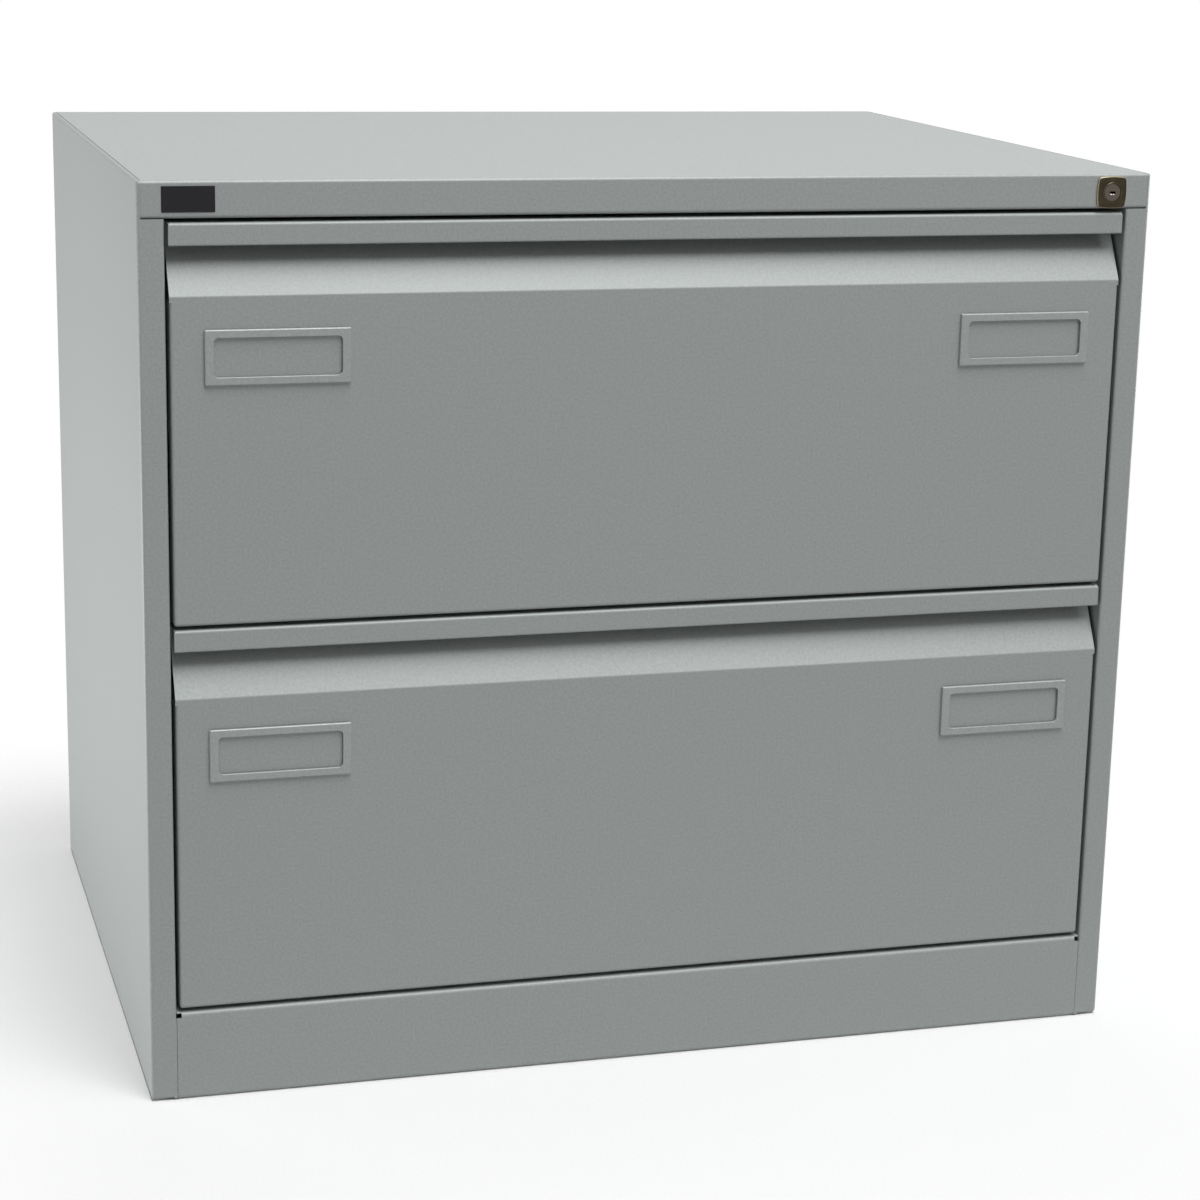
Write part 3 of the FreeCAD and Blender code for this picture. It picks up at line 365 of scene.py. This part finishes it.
def printed_plate():
    """Dark printed film with a satin lacquer: nearly black, faintly violet and grained."""
    material, tree, place = new_material("dark_printed_plate")
    grain = add_node(tree, "ShaderNodeTexNoise", inputs={
        "Vector": place, "Scale": per_metre(print_grain_mm), "Detail": 3.0})
    colour = add_node(tree, "ShaderNodeMix", {"data_type": "RGBA"}, {
        mix_share: grain.outputs["Fac"], mix_from: paint(plate_dark), mix_to: paint(plate_light)})
    rough = add_node(tree, "ShaderNodeMapRange", inputs={
        "Value": grain.outputs["Fac"], "To Min": plate_rough[0], "To Max": plate_rough[1]})
    surface = add_node(tree, "ShaderNodeBsdfPrincipled", inputs={
        "Base Color": colour.outputs[mix_colour], "Roughness": rough.outputs["Result"],
        "IOR": lacquer_ior})
    add_node(tree, "ShaderNodeOutputMaterial", inputs={"Surface": surface.outputs["BSDF"]})
    return material


finish_pieces(["badge_plate"], printed_plate())

# Floor: a round of white paper, opaque under the case and thinner away from it, so that it goes
# over into the white surroundings. It keeps the cabinet's shadow, and bounces less light than it
# shows, so that the fronts stay a middle grey.
paper_white = "FFFFFF"
paper_shade = "F2F3F3"
paper_bounce = "DCDCDC"
paper_fibre_mm = 2.0
floor_radius = 4.0
floor_corners = 96
paper_fade = 0.4
paper_clear_share = 0.4
drawer_travel = 0.52


def seen_directly(tree):
    """1 for what the camera, a reflection or a clear piece sees, and 0 for bounced light."""
    path = add_node(tree, "ShaderNodeLightPath")
    either = add_node(tree, "ShaderNodeMath", {"operation": "MAXIMUM"}, {
        0: path.outputs["Is Camera Ray"], 1: path.outputs["Is Glossy Ray"]})
    return add_node(tree, "ShaderNodeMath", {"operation": "MAXIMUM"}, {
        0: either.outputs["Value"], 1: path.outputs["Is Transmission Ray"]}).outputs["Value"]


def white_sweep():
    """Matt white paper: faintly uneven, and fading out round the cabinet and its open drawers."""
    material, tree, place = new_material("white_paper_sweep")
    fibre = add_node(tree, "ShaderNodeTexNoise", inputs={
        "Vector": place, "Scale": per_metre(paper_fibre_mm)})
    white = add_node(tree, "ShaderNodeMix", {"data_type": "RGBA"}, {
        mix_share: fibre.outputs["Fac"], mix_from: paint(paper_shade), mix_to: paint(paper_white)})
    colour = add_node(tree, "ShaderNodeMix", {"data_type": "RGBA"}, {
        mix_share: seen_directly(tree), mix_from: paint(paper_bounce),
        mix_to: white.outputs[mix_colour]})
    paper = add_node(tree, "ShaderNodeBsdfDiffuse", inputs={"Color": colour.outputs[mix_colour]})
    centred = add_node(tree, "ShaderNodeVectorMath", inputs={
        0: place, 1: (0.0, drawer_travel / 2, 0.0)})
    folded = add_node(tree, "ShaderNodeVectorMath", {"operation": "ABSOLUTE"}, {
        0: centred.outputs["Vector"]})
    past = add_node(tree, "ShaderNodeVectorMath", {"operation": "SUBTRACT"}, {
        0: folded.outputs["Vector"], 1: (cad_high.x, cad_high.y + drawer_travel / 2, 0.0)})
    outside = add_node(tree, "ShaderNodeVectorMath", {"operation": "MAXIMUM"}, {
        0: past.outputs["Vector"]})
    reach = add_node(tree, "ShaderNodeVectorMath", {"operation": "LENGTH"}, {
        0: outside.outputs["Vector"]})
    fade = add_node(tree, "ShaderNodeMapRange", {"interpolation_type": "SMOOTHSTEP"}, {
        "Value": reach.outputs["Value"], "From Max": paper_fade, "To Min": paper_clear_share})
    spread = add_node(tree, "ShaderNodeVectorMath", {"operation": "ABSOLUTE"}, {0: place})
    clear_of_case = add_node(tree, "ShaderNodeVectorMath", {"operation": "SUBTRACT"}, {
        0: spread.outputs["Vector"], 1: (cad_high.x, cad_high.y, 0.0)})
    sides = add_node(tree, "ShaderNodeSeparateXYZ", inputs={
        "Vector": clear_of_case.outputs["Vector"]})
    furthest = add_node(tree, "ShaderNodeMath", {"operation": "MAXIMUM"}, {
        0: sides.outputs["X"], 1: sides.outputs["Y"]})
    beside_case = add_node(tree, "ShaderNodeMath", {"operation": "GREATER_THAN"}, {
        0: furthest.outputs["Value"], 1: 0.0})
    thinned = add_node(tree, "ShaderNodeMath", {"operation": "MULTIPLY"}, {
        0: fade.outputs["Result"], 1: beside_case.outputs["Value"]})
    clear = add_node(tree, "ShaderNodeBsdfTransparent")
    mixed = add_node(tree, "ShaderNodeMixShader", inputs={
        0: thinned.outputs["Value"], 1: paper.outputs["BSDF"], 2: clear.outputs["BSDF"]})
    add_node(tree, "ShaderNodeOutputMaterial", inputs={"Surface": mixed.outputs["Shader"]})
    return material


turns = [math.tau * i / floor_corners for i in range(floor_corners)]
rim = [(floor_radius * math.cos(turn), floor_radius * math.sin(turn), 0.0) for turn in turns]
sweep_mesh = bpy.data.meshes.new("floor")
sweep_mesh.from_pydata(rim, [], [list(range(floor_corners))])
floor = bpy.data.objects.new("floor", sweep_mesh)
floor.data.materials.append(white_sweep())
bpy.context.scene.collection.objects.link(floor)

# Surroundings: a white studio, which the camera, reflections and clear pieces see as plain white,
# and which gives the cabinet only a little light of its own.
studio_white = "FFFFFF"
studio_light = 0.15
studio_shown = 1.0
surroundings = bpy.data.worlds.new("white_studio")
surroundings.use_nodes = True
studio = surroundings.node_tree
studio.nodes.clear()
ambient = add_node(studio, "ShaderNodeBackground", inputs={
    "Color": paint(studio_white), "Strength": studio_light})
backdrop = add_node(studio, "ShaderNodeBackground", inputs={
    "Color": paint(studio_white), "Strength": studio_shown})
shown = add_node(studio, "ShaderNodeMixShader", inputs={
    0: seen_directly(studio), 1: ambient.outputs["Background"], 2: backdrop.outputs["Background"]})
add_node(studio, "ShaderNodeOutputWorld", inputs={"Surface": shown.outputs["Shader"]})
bpy.context.scene.world = surroundings

# Five soft boxes, each with its place and size in metres and its power in watts: one high in front,
# which lights the grip slopes, a weak one over the top, a low one at the left, which lights the side
# more towards the floor, and one each for the right side and the back.
cabinet_middle = Vector((0.0, 0.0, 0.36))
soft_boxes = {
    "front_box": ((1.0, -2.74, 5.88), (3.0, 5.0), 345.0),
    "top_box": ((0.5, 0.7, 2.8), (1.2, 1.4), 10.0),
    "left_box": ((-1.5, 0.15, 0.16), (1.1, 0.3), 10.0),
    "right_box": ((2.4, 0.2, 0.36), (1.0, 0.7), 18.0),
    "back_box": ((0.0, 2.5, 0.36), (0.7, 0.7), 22.0),
}
for name, (place, size, power) in soft_boxes.items():
    lamp = bpy.data.lights.new(name, "AREA")
    lamp.shape = "RECTANGLE"
    lamp.size, lamp.size_y = size
    lamp.energy = power
    box = bpy.data.objects.new(name, lamp)
    box.location = place
    box.rotation_euler = (cabinet_middle - Vector(place)).to_track_quat("-Z", "Y").to_euler()
    bpy.context.scene.collection.objects.link(box)

# Camera: left of the cabinet and above it, as the photo was taken, with a long lens and a slight
# roll. It has no shift, so that the cabinet stays inside the frame of every other view.
camera_place = Vector((-0.6514, -2.3840, 0.9236))
camera_aim = Vector((-0.0470, -0.3080, 0.3845))
camera_roll = math.radians(1.234)
lens_mm = 86.07
sensor_mm = 36.0
lens = bpy.data.cameras.new("camera")
lens.lens = lens_mm
lens.sensor_width = sensor_mm
camera = bpy.data.objects.new("camera", lens)
turn = (camera_aim - camera_place).to_track_quat("-Z", "Y").to_matrix().to_4x4()
roll = Matrix.Rotation(camera_roll, 4, "Z")
camera.matrix_world = Matrix.Translation(camera_place) @ turn @ roll
bpy.context.scene.collection.objects.link(camera)
bpy.context.scene.camera = camera
bpy.context.scene.view_settings.view_transform = "Standard"
